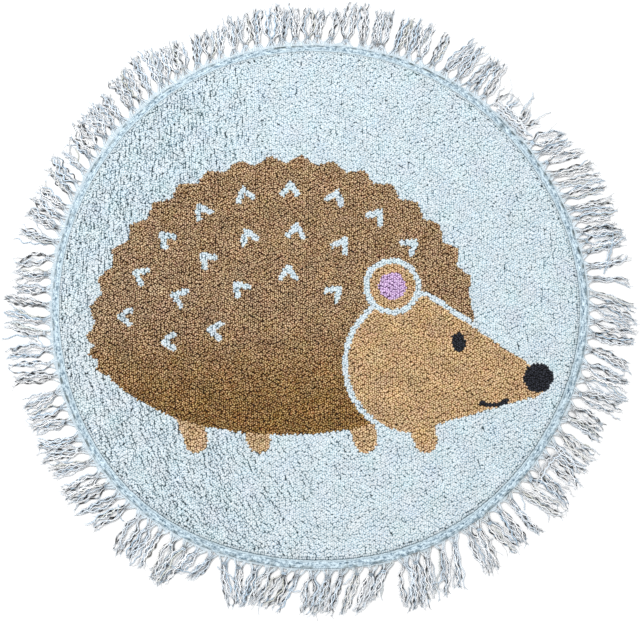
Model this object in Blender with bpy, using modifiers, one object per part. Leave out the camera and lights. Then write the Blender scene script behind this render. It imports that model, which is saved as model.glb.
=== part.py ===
# A round tufted cotton rug for a child's room, lying flat on the floor. The pile stands on a woven
# backing, a flat woven tape covers the edge, and a knotted fringe comes out from under the tape.
# Metres, +Z up. The origin is the centre of the underside, and -Y is the side nearest the viewer.

import math
from collections import namedtuple

import bmesh
import bpy

RUG_NAME = "kids_rug"
GAP = 0.0003                 # left between pieces that touch

# The rim is the tape's outer edge, a circle that the sewing has pulled a little out of round.
RIM_RADIUS = 0.500
RIM_STEPS = 96
Wave = namedtuple("Wave", "waves_round height crest_deg")
RIM_WAVES = (
    Wave(2, 0.0004, -31.0),
    Wave(3, 0.0037, -12.0),
    Wave(4, 0.0011, 40.0),
    Wave(5, 0.0013, 5.5),
    Wave(6, 0.0010, -4.5),
)

# Tufted field: backing and pile, in one.
BACKING_THICKNESS = 0.0020
BACKING_INSET = 0.0010       # from the rim to the backing's cut edge
PILE_TOP = 0.0120            # above the floor
PILE_SHOULDER = 0.0060       # width over which the pile rounds down at its edge
PILE_EDGE_TOP = 0.0075       # where that rounding meets the pile's upright side
PILE_RINGS = (0.35, 0.7, 1.0)    # where its top is divided, as shares of the flat part's radius
PILE_SWELL = 0.0004          # how much its top rises and falls
PILE_SWELL_LENGTH = 0.290    # from one rise to the next

# Edge tape and, under it, the heading that carries the fringe.
TAPE_WIDTH = 0.0155
TAPE_THICKNESS = 0.0014
HEADING_WIDTH = 0.0120
HEADING_THICKNESS = 0.0015
HEADING_BOTTOM = BACKING_THICKNESS + GAP
TAPE_BOTTOM = HEADING_BOTTOM + HEADING_THICKNESS + GAP

# Tassels: each spreads from the heading, is drawn in at its knot, and then lies loose on the floor.
ROOT_DEPTH = 0.0070          # inside the heading
ROOT_HALF_WIDTH = 0.0075
ROOT_THICKNESS = 0.0011
ROOT_BOTTOM = HEADING_BOTTOM + (HEADING_THICKNESS - ROOT_THICKNESS) / 2
ROOT_END = 0.0012            # past the rim, clear of the backing's edge
KNOT_DISTANCE = 0.0150
KNOT_HALF_WIDTH = 0.0050
KNOT_THICKNESS = 0.0065
BODY_SHARE = 0.60            # of the way from rim to tip
BODY_HALF_WIDTH = 0.0072
BODY_THICKNESS = 0.0060
TIP_HALF_WIDTH = 0.0058
TIP_THICKNESS = 0.0030
SWAY = 0.0030                # how far a tassel bows sideways
SWAY_STEP_DEG = 137.5        # the sway's phase from one tassel to the next
BEND_POWER = 1.2             # over 1, a tassel leaves the rim squarely before it leans
SECTION_SHAPE = ((-1.0, 0.0), (1.0, 0.0), (0.75, 0.8), (0.0, 1.0), (-0.75, 0.8))    # across, up
PATH_STEP = 0.001            # over which a tassel's direction is taken

# The fringe, bunch by bunch, counter-clockwise from +X. Knots are even from one row's first knot to
# the next row's, tips are even between the row's two tip angles, and reach is from rim to tip.
Bunch = namedtuple("Bunch", "knot_deg tassels first_tip_deg last_tip_deg reach")
BUNCHES = (
    Bunch(1.3, 3, -1.8, 7.6, 0.084),
    Bunch(9.8, 3, 11.0, 13.4, 0.086),
    Bunch(17.2, 3, 16.0, 21.3, 0.087),
    Bunch(25.6, 3, 23.3, 29.3, 0.086),
    Bunch(34.0, 2, 32.2, 34.4, 0.074),
    Bunch(39.5, 4, 39.2, 48.0, 0.050),
    Bunch(51.0, 3, 52.0, 54.0, 0.087),
    Bunch(58.0, 2, 57.0, 58.6, 0.092),
    Bunch(64.5, 2, 64.3, 67.5, 0.085),
    Bunch(70.0, 2, 70.3, 72.2, 0.085),
    Bunch(75.8, 2, 76.2, 78.0, 0.086),
    Bunch(80.0, 2, 81.0, 83.2, 0.090),
    Bunch(87.5, 3, 85.5, 91.6, 0.073),
    Bunch(94.8, 3, 94.3, 98.7, 0.083),
    Bunch(103.0, 3, 101.5, 106.8, 0.078),
    Bunch(111.3, 3, 109.3, 114.4, 0.065),
    Bunch(119.7, 3, 118.3, 122.2, 0.074),
    Bunch(126.0, 2, 124.0, 126.8, 0.087),
    Bunch(131.2, 2, 129.6, 132.3, 0.082),
    Bunch(137.0, 4, 135.8, 143.0, 0.075),
    Bunch(148.0, 2, 146.3, 148.6, 0.064),
    Bunch(154.0, 2, 151.1, 153.6, 0.076),
    Bunch(160.0, 3, 157.4, 162.6, 0.074),
    Bunch(167.5, 1, 166.5, 166.5, 0.080),
    Bunch(171.0, 3, 173.4, 178.0, 0.073),
    Bunch(181.5, 3, 179.8, 185.0, 0.085),
    Bunch(191.0, 3, 189.8, 195.5, 0.088),
    Bunch(200.0, 3, 200.6, 204.8, 0.075),
    Bunch(210.5, 3, 208.0, 213.3, 0.077),
    Bunch(219.5, 2, 218.1, 219.8, 0.083),
    Bunch(225.3, 2, 222.4, 225.7, 0.082),
    Bunch(231.3, 3, 232.0, 236.9, 0.085),
    Bunch(239.5, 2, 239.8, 241.3, 0.088),
    Bunch(245.5, 2, 243.4, 246.0, 0.055),
    Bunch(250.5, 3, 254.4, 256.6, 0.079),
    Bunch(260.5, 3, 258.4, 262.6, 0.074),
    Bunch(269.3, 2, 268.0, 269.5, 0.080),
    Bunch(275.3, 3, 272.0, 277.0, 0.079),
    Bunch(284.7, 1, 279.8, 279.8, 0.062),
    Bunch(288.0, 2, 286.0, 288.4, 0.092),
    Bunch(293.0, 3, 290.6, 296.2, 0.086),
    Bunch(302.5, 2, 301.6, 303.0, 0.092),
    Bunch(307.0, 2, 308.0, 309.5, 0.088),
    Bunch(313.3, 1, 313.0, 313.0, 0.092),
    Bunch(316.0, 2, 317.9, 319.6, 0.095),
    Bunch(322.0, 4, 321.0, 328.9, 0.087),
    Bunch(333.8, 2, 333.3, 335.4, 0.076),
    Bunch(339.5, 2, 339.4, 341.8, 0.096),
    Bunch(346.0, 2, 344.5, 347.0, 0.090),
    Bunch(352.5, 3, 351.8, 355.6, 0.088),
)


def rim_scale(angle):
    """How far the rim stands from the centre at this angle, as a share of the plain circle's radius."""
    out = 0.0
    for wave in RIM_WAVES:
        out += wave.height * math.cos(wave.waves_round * (angle - math.radians(wave.crest_deg)))
    return 1 + out / RIM_RADIUS


def place(radius, angle, height):
    """The point at this plain radius, angle and height, with the rim's waves taken in."""
    scaled = radius * rim_scale(angle)
    return (scaled * math.cos(angle), scaled * math.sin(angle), height)


def fabric(name, colour, roughness):
    """A matt cloth material."""
    material = bpy.data.materials.new(name)
    material.use_nodes = True
    shader = material.node_tree.nodes["Principled BSDF"]
    shader.inputs["Base Color"].default_value = (*colour, 1.0)
    shader.inputs["Roughness"].default_value = roughness
    shader.inputs["Metallic"].default_value = 0.0
    material.diffuse_color = (*colour, 1.0)
    return material


def new_object(name, mesh, collection):
    item = bpy.data.objects.new(name, mesh)
    collection.objects.link(item)
    return item


def evaluated_mesh(item, name):
    """The object's mesh with its modifiers applied, in its own space."""
    graph = bpy.context.evaluated_depsgraph_get()
    mesh = bpy.data.meshes.new_from_object(item.evaluated_get(graph))
    mesh.name = name
    return mesh


def turned(name, profile, is_ring, collection, material):
    """The (radius, height) profile turned about Z, then pulled out to the rim's waves."""
    outline = bpy.data.meshes.new(name + "_profile")
    edges = [(i, i + 1) for i in range(len(profile) - 1)]
    if is_ring:
        edges.append((len(profile) - 1, 0))
    outline.from_pydata([(radius, 0.0, height) for radius, height in profile], edges, [])
    item = new_object(name, outline, collection)
    screw = item.modifiers.new("Turn", "SCREW")
    screw.axis = "Z"
    screw.angle = math.tau
    screw.steps = RIM_STEPS
    screw.render_steps = RIM_STEPS
    screw.use_merge_vertices = True
    screw.merge_threshold = 0.0001
    item.data = evaluated_mesh(item, name)
    item.modifiers.remove(screw)
    bpy.data.meshes.remove(outline)
    for vertex in item.data.vertices:
        x, y, z = vertex.co
        vertex.co = place(math.hypot(x, y), math.atan2(y, x), z)
    item.data.materials.append(material)
    return item


def ring_profile(outer, width, bottom, thickness):
    """A flat band's section as (radius, height) corners, down its outer side first."""
    top = bottom + thickness
    return ((outer, top), (outer, bottom), (outer - width, bottom), (outer - width, top))


def tufted_field(collection, material):
    """Backing and pile in one: the pile rounds down at its edge, and the backing runs on as a flange."""
    pile_radius = RIM_RADIUS - TAPE_WIDTH - GAP
    shoulder = pile_radius - PILE_SHOULDER
    flange_radius = RIM_RADIUS - BACKING_INSET
    profile = [(0.0, PILE_TOP)]
    profile += [(shoulder * share, PILE_TOP) for share in PILE_RINGS]
    profile += [
        (pile_radius - PILE_SHOULDER / 5, (PILE_TOP + PILE_EDGE_TOP) / 2),
        (pile_radius, PILE_EDGE_TOP),
        (pile_radius, BACKING_THICKNESS),
        (flange_radius, BACKING_THICKNESS),
        (flange_radius, 0.0),
        (0.0, 0.0),
    ]
    item = turned("tufted_field", profile, False, collection, material)
    for vertex in item.data.vertices:
        x, y, z = vertex.co
        if z > PILE_EDGE_TOP:
            across = math.sin(math.tau * x / PILE_SWELL_LENGTH)
            aslant = math.sin(math.tau * (y - x / 2) / PILE_SWELL_LENGTH)
            vertex.co.z = z + PILE_SWELL * (across + aslant) / 2
    return item


def tassel_point(knot, tip, reach, sway, distance):
    """Where a tassel's middle is in plan, this far past the rim: square to the rim first, then leaning."""
    share = max(distance, 0.0) / reach
    angle = knot + (tip - knot) * share ** BEND_POWER
    radius = RIM_RADIUS + distance
    return place(radius, angle + sway * math.sin(math.pi * share) / radius, 0.0)


def tassel_sections(reach):
    """(distance past the rim, half width, thickness, height of the underside), from root to tip."""
    return (
        (-ROOT_DEPTH, ROOT_HALF_WIDTH, ROOT_THICKNESS, ROOT_BOTTOM),
        (ROOT_END, ROOT_HALF_WIDTH, ROOT_THICKNESS, ROOT_BOTTOM),
        (KNOT_DISTANCE, KNOT_HALF_WIDTH, KNOT_THICKNESS, 0.0),
        (BODY_SHARE * reach, BODY_HALF_WIDTH, BODY_THICKNESS, 0.0),
        (reach, TIP_HALF_WIDTH, TIP_THICKNESS, 0.0),
    )


def add_tassel(shape, knot, tip, reach, sway):
    """Lofts one tassel through its sections, flat underneath and arched on top."""
    rings = []
    for distance, half_width, thickness, bottom in tassel_sections(reach):
        x, y, _ = tassel_point(knot, tip, reach, sway, distance)
        ahead = tassel_point(knot, tip, reach, sway, distance + PATH_STEP)
        behind = tassel_point(knot, tip, reach, sway, distance - PATH_STEP)
        direction = math.atan2(ahead[1] - behind[1], ahead[0] - behind[0])
        side_x = -math.sin(direction)
        side_y = math.cos(direction)
        rings.append([
            shape.verts.new((
                x + across * half_width * side_x,
                y + across * half_width * side_y,
                bottom + up * thickness,
            ))
            for across, up in SECTION_SHAPE
        ])
    faces = [shape.faces.new(rings[0]), shape.faces.new(rings[-1])]
    for near, far in zip(rings, rings[1:]):
        for i in range(len(near)):
            after = (i + 1) % len(near)
            faces.append(shape.faces.new((near[i], near[after], far[after], far[i])))
    bmesh.ops.recalc_face_normals(shape, faces=faces)


def tassels(collection):
    """Every tassel of the table in one mesh, to be joined to the heading."""
    shape = bmesh.new()
    placed = 0
    for bunch, after in zip(BUNCHES, BUNCHES[1:] + BUNCHES[:1]):
        pitch = (after.knot_deg - bunch.knot_deg) % 360 / bunch.tassels
        spread = (bunch.last_tip_deg - bunch.first_tip_deg) / max(bunch.tassels - 1, 1)
        for i in range(bunch.tassels):
            add_tassel(
                shape,
                math.radians(bunch.knot_deg + i * pitch),
                math.radians(bunch.first_tip_deg + i * spread),
                bunch.reach,
                SWAY * math.sin(math.radians(placed * SWAY_STEP_DEG)),
            )
            placed += 1
    mesh = bpy.data.meshes.new("tassels")
    shape.to_mesh(mesh)
    shape.free()
    item = new_object("tassels", mesh, collection)
    item.hide_render = True
    item.display_type = "WIRE"
    return item


def fringe(collection, helper_collection, material):
    """One comb: the heading under the tape, with the tassels joined to it."""
    profile = ring_profile(RIM_RADIUS, HEADING_WIDTH, HEADING_BOTTOM, HEADING_THICKNESS)
    item = turned("fringe", profile, True, collection, material)
    join = item.modifiers.new("Tassels", "BOOLEAN")
    join.operation = "UNION"
    join.solver = "EXACT"
    join.use_self = True
    join.object = tassels(helper_collection)
    return item


def edge_tape(collection, material):
    """The flat woven tape, over the heading and up against the pile."""
    profile = ring_profile(RIM_RADIUS, TAPE_WIDTH, TAPE_BOTTOM, TAPE_THICKNESS)
    return turned("edge_tape", profile, True, collection, material)


def clear_scene():
    for item in list(bpy.data.objects):
        bpy.data.objects.remove(item, do_unlink=True)


def new_collection(name):
    collection = bpy.data.collections.new(name)
    bpy.context.scene.collection.children.link(collection)
    return collection


clear_scene()
rug = new_collection(RUG_NAME)
helpers = new_collection(RUG_NAME + "_helpers")
helpers.hide_render = True
tufted_field(rug, fabric("cotton_pile", (0.56, 0.67, 0.72), 0.95))
edge_tape(rug, fabric("woven_tape", (0.48, 0.60, 0.73), 0.90))
fringe(rug, helpers, fabric("fringe_yarn", (0.62, 0.63, 0.66), 0.90))
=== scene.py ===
import math

import bpy
import numpy as np
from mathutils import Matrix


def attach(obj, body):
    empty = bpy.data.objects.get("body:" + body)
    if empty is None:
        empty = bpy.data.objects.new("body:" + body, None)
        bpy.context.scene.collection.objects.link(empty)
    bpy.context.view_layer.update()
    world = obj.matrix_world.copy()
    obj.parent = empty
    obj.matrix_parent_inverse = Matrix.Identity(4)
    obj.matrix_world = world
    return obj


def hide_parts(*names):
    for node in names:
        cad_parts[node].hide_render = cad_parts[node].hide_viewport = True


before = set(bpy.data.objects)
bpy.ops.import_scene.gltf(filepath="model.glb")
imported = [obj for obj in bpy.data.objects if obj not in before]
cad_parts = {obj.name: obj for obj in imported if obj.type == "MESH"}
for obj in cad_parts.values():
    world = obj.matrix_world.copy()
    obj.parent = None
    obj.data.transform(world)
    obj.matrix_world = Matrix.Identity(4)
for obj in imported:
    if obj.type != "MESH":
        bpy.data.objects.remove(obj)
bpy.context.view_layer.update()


# sRGB hex to linear light, as a shader wants it
def linear(hexColour):
    shares = np.array([int(hexColour[i:i + 2], 16) for i in (1, 3, 5)]) / 255.0
    light = np.where(shares <= 0.04045, shares / 12.92, ((shares + 0.055) / 1.055) ** 2.4)
    return (*light.tolist(), 1.0)


# Smooth rise from 0 to 1 as value goes from start to end
def smoothRise(value, start, end):
    share = np.clip((value - start) / (end - start), 0.0, 1.0)
    return share * share * (3.0 - 2.0 * share)


# A bell curve: 1 at the middle, falling to 1/e one spread away from it
def bell(value, middle, spread):
    return np.exp(-(((value - middle) / spread) ** 2))


# Evenly spaced angles all the way round
def fullTurn(count):
    return np.linspace(0.0, math.tau, count, endpoint=False)


# Slow unevenness, about -1 to 1: a sum of plane waves near one wavelength, in random directions and phases
def driftField(x, y, wavelength, seed, waves=14):
    draw = np.random.default_rng(seed)
    total = np.zeros(np.shape(x))
    for _ in range(waves):
        bearing = draw.uniform(0.0, math.tau)
        pace = math.tau / (wavelength * draw.uniform(0.7, 1.5))
        phase = draw.uniform(0.0, math.tau)
        total += np.sin(pace * (x * math.cos(bearing) + y * math.sin(bearing)) + phase)
    return total / math.sqrt(waves)


# Fills a node's inputs with values, or with links from other nodes
def fillInputs(node, inputs):
    for key, value in inputs.items():
        if isinstance(value, bpy.types.NodeSocket):
            node.id_data.links.new(value, node.inputs[key])
        else:
            node.inputs[key].default_value = value


# One node with its inputs and settings; gives back the output asked for
def addNode(tree, kind, inputs, output=0, **settings):
    node = tree.nodes.new("ShaderNode" + kind)
    for key, value in settings.items():
        setattr(node, key, value)
    fillInputs(node, inputs)
    return node.outputs[output]


# A material with its shader's constant sockets filled in, and its node tree and shader
def newMaterial(name, constants):
    material = bpy.data.materials.new(name)
    material.use_nodes = True
    tree = material.node_tree
    shader = next(node for node in tree.nodes if node.type == "BSDF_PRINCIPLED")
    fillInputs(shader, constants)
    return material, tree, shader


# A mesh from whole arrays: faces is a list of arrays, and every row of one is a face
def newPiece(name, points, faces, material, values, maps):
    mesh = bpy.data.meshes.new(name)
    corners = np.concatenate([rows.ravel() for rows in faces])
    sizes = np.concatenate([np.full(len(rows), rows.shape[1]) for rows in faces])
    mesh.vertices.add(len(points))
    mesh.vertices.foreach_set("co", points.astype(np.float32).ravel())
    mesh.loops.add(len(corners))
    mesh.loops.foreach_set("vertex_index", corners.astype(np.int32))
    mesh.polygons.add(len(sizes))
    mesh.polygons.foreach_set("loop_start", (np.cumsum(sizes) - sizes).astype(np.int32))
    mesh.update(calc_edges=True)
    for key, value in values.items():
        attribute = mesh.attributes.new(key, "FLOAT", "POINT")
        attribute.data.foreach_set("value", np.ascontiguousarray(value, np.float32).ravel())
    for key, places in maps.items():
        layer = mesh.uv_layers.new(name=key)
        layer.data.foreach_set("uv", np.ascontiguousarray(places, np.float32).ravel())
    mesh.shade_smooth()
    mesh.materials.append(material)
    piece = bpy.data.objects.new(name, mesh)
    bpy.context.scene.collection.objects.link(piece)
    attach(piece, "root")
    print(f"{name}: {len(points)} points, {int((sizes - 2).sum())} triangles")
    return piece


rim = {
    "radius": 0.500,
    "tapeWidth": 0.0155,  # inwards from the rim
    # slow waves that pull the circle slightly out of true: how many round it, height, where one crests
    "waves": (
        (2, 0.0004, -31.0),
        (3, 0.0037, -12.0),
        (4, 0.0011, 40.0),
        (5, 0.0013, 5.5),
        (6, 0.0010, -4.5),
    ),
}


# The share by which the outline stands off the circle: 1 plus each wave's height times the cosine of its
# phase
def rimScale(angle):
    scale = np.ones(np.shape(angle))
    for count, height, crest in rim["waves"]:
        scale += height / rim["radius"] * np.cos(count * (angle - math.radians(crest)))
    return scale


# Plan radius and angle on the plain circle to a point on the rug
def placed(radius, angle, height):
    reach = radius * rimScale(angle)
    return np.stack(np.broadcast_arrays(reach * np.cos(angle), reach * np.sin(angle), height), axis=-1)


# The slow unevenness along the rim
def rimDrift(angle, wavelength, seed):
    return driftField(rim["radius"] * np.cos(angle), rim["radius"] * np.sin(angle), wavelength, seed)


# Four-sided faces of a closed ring: a profile's points carried round the rug, wrapped both ways
def turnedFaces(around, across):
    i, j = np.meshgrid(np.arange(around), np.arange(across), indexing="ij")
    nextI, nextJ = (i + 1) % around, (j + 1) % across
    rows = [i * across + j, i * across + nextJ, nextI * across + nextJ, nextI * across + j]
    return np.stack(rows, axis=-1).reshape(-1, 4)


backing = {
    "top": 0.0020,
    "inset": 0.0010,
    "around": 240,
    "rings": 9,
    "thread": 0.0022,  # canvas threads a millimetre apart, drawn twice as coarse so that they show
}
waveRepeat = 0.314  # metres from band to band of a wave texture at scale 1


# Plain-woven cotton canvas: dull, with a fine over-and-under grain of its two threads
def canvasMaterial(name, sunk, raised):
    material, tree, shader = newMaterial(name, {"Roughness": 0.95, "Specular IOR Level": 0.2})
    place = addNode(tree, "TexCoord", {}, "Object")
    bands = {"Vector": place, "Scale": waveRepeat / backing["thread"], "Distortion": 0.6, "Detail": 1.0}
    warp, weft = (
        addNode(tree, "TexWave", bands, "Fac", wave_type="BANDS", bands_direction=direction)
        for direction in "XY"
    )
    grain = addNode(tree, "Math", {0: warp, 1: weft}, operation="MULTIPLY")
    colour = addNode(tree, "Mix", {0: grain, 6: linear(sunk), 7: linear(raised)}, 2, data_type="RGBA")
    bump = addNode(tree, "Bump", {"Height": grain, "Strength": 0.5, "Distance": 0.0006})
    fillInputs(shader, {"Base Color": colour, "Normal": bump})
    return material


# The profile runs from the centre out along the flat underside, round the edge and back along the top
def makeBacking():
    rings, top, around = backing["rings"], backing["top"], backing["around"]
    outer = rim["radius"] - backing["inset"]
    run = np.linspace(0.0, 1.0, rings + 1)[1:] ** 0.8 * outer
    radii = np.concatenate([run, run[::-1]])
    heights = np.repeat([0.0, top], rings)
    body = placed(radii[None, :], fullTurn(around)[:, None], heights[None, :]).reshape(-1, 3)
    across = len(radii)
    faces = turnedFaces(around, across)
    faces = faces[faces[:, 0] % across != across - 1]  # the gap at the centre is closed by two poles instead
    first = np.arange(around) * across
    ahead = np.roll(first, -1)
    pole = np.full_like(first, len(body))
    underFan = np.stack([ahead, first, pole], axis=-1)
    overFan = np.stack([first + across - 1, ahead + across - 1, pole + 1], axis=-1)
    points = np.concatenate([body, [[0.0, 0.0, 0.0], [0.0, 0.0, top]]])
    canvas = canvasMaterial("wovenCottonCanvas", "#8f938f", "#d9dcd8")
    return newPiece("woven_backing", points, [faces[:, ::-1], underFan, overFan], canvas, {}, {})


# A plain hedgehog seen from the side, facing right; metres from the rug's centre
hedgehog = {
    "bodyCentre": (-0.060, -0.075),
    "bodyHalfWidth": 0.352,
    "bodyRise": 0.335,
    "bodyDrop": 0.180,
    "spineCount": 38,
    "spineHeight": 0.017,
    "spinesGrow": (8.0, 20.0),  # degrees round the body where the outline's spines set in
    "spinesShrink": (196.0, 212.0),  # and where they end
    "outlineGap": 0.011,
    "faceRoot": (0.185, -0.125),
    "faceRootRadius": 0.128,
    "faceTip": (0.392, -0.158),
    "faceTipRadius": 0.030,
    "ear": (0.140, 0.022),
    "earRadius": 0.043,
    "earInnerRadius": 0.026,
    "eye": (0.262, -0.085),
    "eyeSize": (0.013, 0.019),
    "nose": (0.407, -0.150),
    "noseRadius": 0.027,
    "smileCentre": (0.322, -0.150),
    "smileRadius": 0.050,
    "smileWidth": 0.0075,
    "smileEnds": (-118.0, -52.0),
    "feet": (-0.235, -0.120, 0.075, 0.185),
    "footTop": -0.215,
    "footDrop": 0.052,
    "footForward": 0.014,
    "footRadius": 0.026,
    "toeTaper": 0.8,
    # each mark on the back is an open V with its point outward: how long it is, and half as wide
    "spineMark": (0.020, 0.0135),
    "spineMarkRadius": 0.0056,
    # the marks lie along arcs of the back: share of the way out, how many, first and last turn
    "spineArcs": (
        (0.88, 9, 38.0, 172.0),
        (0.64, 7, 36.0, 182.0),
        (0.40, 4, 44.0, 174.0),
    ),
}
pale, brown, tan, pink, black = range(5)


# Distance to a stroke between two points, less a radius that runs evenly from one end's to the other's
def strokeGap(x, y, start, end, startRadius, endRadius):
    alongX, alongY = end[0] - start[0], end[1] - start[1]
    share = ((x - start[0]) * alongX + (y - start[1]) * alongY) / (alongX ** 2 + alongY ** 2)
    share = np.clip(share, 0.0, 1.0)
    gap = np.hypot(x - start[0] - share * alongX, y - start[1] - share * alongY)
    return gap - startRadius - share * (endRadius - startRadius)


# The yarn colour at each point of the field, drawn from back to front
def pictureAt(x, y):
    h = hedgehog
    colour = np.full(np.shape(x), pale)
    for foot in h["feet"]:
        heel, toe = (foot, h["footTop"]), (foot + h["footForward"], h["footTop"] - h["footDrop"])
        colour[strokeGap(x, y, heel, toe, h["footRadius"], h["footRadius"] * h["toeTaper"]) < 0.0] = tan
    # The back is half an ellipse with teeth, a triangle wave of the angle, and the belly a flatter plain half
    (bodyX, bodyY), halfWidth = h["bodyCentre"], h["bodyHalfWidth"]
    awayX = (x - bodyX) / halfWidth
    awayY = (y - bodyY) / np.where(y > bodyY, h["bodyRise"], h["bodyDrop"])
    turn = np.arctan2(awayY, awayX)
    degrees = np.degrees(turn) % 360.0
    tooth = np.abs(2.0 * ((turn * h["spineCount"] / math.tau) % 1.0) - 1.0) * h["spineHeight"]
    tooth *= smoothRise(degrees, *h["spinesGrow"]) * (1.0 - smoothRise(degrees, *h["spinesShrink"]))
    colour[(np.hypot(awayX, awayY) - 1.0) * halfWidth < tooth] = brown
    (long, wide), radius = h["spineMark"], h["spineMarkRadius"]
    for arc, count, firstTurn, lastTurn in h["spineArcs"]:
        for step in np.radians(np.linspace(firstTurn, lastTurn, count)):
            outX, outY = math.cos(step) * halfWidth, math.sin(step) * h["bodyRise"]
            point = (bodyX + arc * outX, bodyY + arc * outY)
            outX, outY = outX / math.hypot(outX, outY), outY / math.hypot(outX, outY)
            for side in (-wide, wide):
                end = (point[0] - long * outX - side * outY, point[1] - long * outY + side * outX)
                colour[strokeGap(x, y, point, end, radius, radius) < 0.0] = pale
    face = strokeGap(x, y, h["faceRoot"], h["faceTip"], h["faceRootRadius"], h["faceTipRadius"])
    ear, nose, smile = (np.hypot(x - h[key][0], y - h[key][1]) for key in ("ear", "nose", "smileCentre"))
    eye = np.hypot((x - h["eye"][0]) / h["eyeSize"][0], (y - h["eye"][1]) / h["eyeSize"][1])
    smileTurn = np.degrees(np.arctan2(y - h["smileCentre"][1], x - h["smileCentre"][0]))
    firstEnd, lastEnd = h["smileEnds"]
    onSmile = np.abs(smile - h["smileRadius"]) < h["smileWidth"] / 2.0
    colour[(face < h["outlineGap"]) & (colour == brown)] = pale
    colour[face < 0.0] = tan
    colour[ear < h["earRadius"] + h["outlineGap"]] = pale
    colour[ear < h["earRadius"]] = tan
    colour[ear < h["earInnerRadius"]] = pink
    colour[(eye < 1.0) | (nose < h["noseRadius"])] = black
    colour[onSmile & (smileTurn > firstEnd) & (smileTurn < lastEnd)] = black
    return colour


pile = {
    "rowSpacing": 0.0037,
    "tuftSpacing": 0.0043,
    "nudge": (0.24, 0.28),  # how far a tuft stands off its place, in shares of the two spacings
    "clearOfTape": 0.0003,
    # the close row of tufts round the edge: in from the pile's edge; then in shares of the tuft spacing its
    # own spacing and the room inside it; and how far its tufts stand off their places, along it and across
    "borderIn": 0.0019,
    "borderSpacing": 0.9,
    "borderRoom": 0.55,
    "borderNudge": 0.25,
    "borderWander": (-0.0005, 0.0004),
    "top": 0.0120,
    "shoulder": 0.0085,  # how far in from the edge the pile starts to round down
    "edgeTop": 0.0078,
    "foot": 0.0012,
    "swell": 0.0004,
    "swellLength": 0.290,
    "halfLength": 0.0038,
    "halfWidth": 0.0032,
    "crown": 0.0040,  # rim of a tuft below its top
    # how much tufts differ, as shares: in size, at each corner of the ring, and in how deep each corner lies
    "sizes": (0.90, 1.10),
    "ringSizes": (0.82, 1.18),
    "crownDepths": (0.80, 1.20),
    "tipLean": 0.0005,
    "topWander": 0.00030,
    # short partings where the pile opens along its rows, most on the left, leaning with the rim towards the
    # bottom, each with a line of painted shade
    "partings": 12000,
    "partingField": 0.49,  # half the side of the square that they are strewn over
    "partingHalfLength": (0.0035, 0.0110),
    "partingReach": 0.0048,  # tufts this near belong to a parting
    "partingPush": 0.0006,
    "partingDepth": 0.0012,
    "partingLean": 0.75,
    "partingFade": (-0.30, 0.0, 0.97),  # they thin out from the first x to the second, by this share
    "partingStrength": (0.40, 0.95),
    "partingInDyed": 0.3,  # how strong they are in dyed pile, as a share
    "lineWidths": (0.0002, 0.0014),  # half widths of a parting's line of painted shade, full and faded out
    "edgeShade": 0.0055,  # how far in from the tape the pile has painted shade
    # a trodden patch that has lost some colour: its centre, spread and how much
    "greyed": (-0.40, -0.10, 0.13, 0.20),
    # the brown gets darker and richer towards the bottom: metres that takes, darker by, richer by
    "deeper": (0.26, 0.25, 0.40),
    # slow mottling of the pile's tone: strength, wavelength, seed
    "mottle": ((0.016, 0.070, 21), (0.006, 0.018, 22)),
    "dyedMottle": 3.5,  # the same in dyed pile, as a multiple
    "dyedUneven": 2.2,  # and how much more its single tufts differ
    "tuftTone": 0.04,
    "tuftHue": 0.003,
    # how dark the painted shade in the gaps between tufts is: light in closed pale pile, dark in dyed pile
    "paleFoot": 0.22,
    "dyedFoot": -0.05,
    "seed": 7,
}
pileEdge = rim["radius"] - rim["tapeWidth"] - pile["clearOfTape"]

# Yarns of the pile: name, plain tone, colours deep between the tufts where shade is painted, on their sides
# and at the cut tips, and how much the clumps of fibre ends show
pileYarns = {
    pale: ("iceBlueCottonPile", 0.91, "#6f828b", "#cbdfe9", "#fafeff", 1.70),
    brown: ("brownCottonPile", 0.86, "#301400", "#936a42", "#ffe6c0", 2.90),
    tan: ("tanCottonPile", 1.00, "#6b4d28", "#c09c70", "#f7e0bc", 2.20),
    pink: ("pinkCottonPile", 1.00, "#7c5a86", "#cdaeda", "#fbe6ff", 2.00),
    black: ("blackCottonPile", 1.00, "#060709", "#1a1c23", "#43454f", 2.00),
}

# Pieces of the pile: name, yarn, and the strip of the field that each fills, from y above the first to
# the second
pileParts = (
    ("pale_pile_upper", pale, 0.04, 1.0),
    ("pale_pile_lower", pale, -1.0, 0.04),
    ("brown_pile_upper", brown, 0.02, 1.0),
    ("brown_pile_lower", brown, -1.0, 0.02),
    ("tan_pile", tan, -1.0, 1.0),
    ("pink_pile", pink, -1.0, 1.0),
    ("black_pile", black, -1.0, 1.0),
)
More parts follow.
